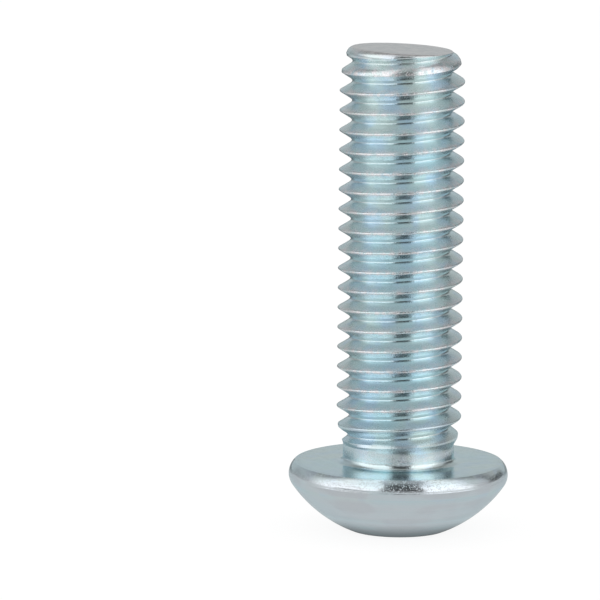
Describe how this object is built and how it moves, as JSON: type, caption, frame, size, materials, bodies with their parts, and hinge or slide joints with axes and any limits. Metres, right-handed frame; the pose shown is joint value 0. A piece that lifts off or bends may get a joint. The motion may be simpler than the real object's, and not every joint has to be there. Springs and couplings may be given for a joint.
{
  "type": "button head screw",
  "caption": "Button head socket screw with a right-hand metric thread along the whole shank; clamps a part under its low domed head and is driven by a hexagon key.",
  "frame": {"origin": "centre of the flat bearing face under the head, on the screw's axis", "axes": "+Z along the shank towards its end; the head and its socket are below the origin, and the screw stands on the narrow land around the socket's mouth"},
  "size_m": [0.0138, 0.0138, 0.0307],
  "materials": {
    "zinc_plated_steel": "bright zinc plated"
  },
  "bodies": {
    "root": {"screw": "zinc_plated_steel"}
  },
  "joints": []
}
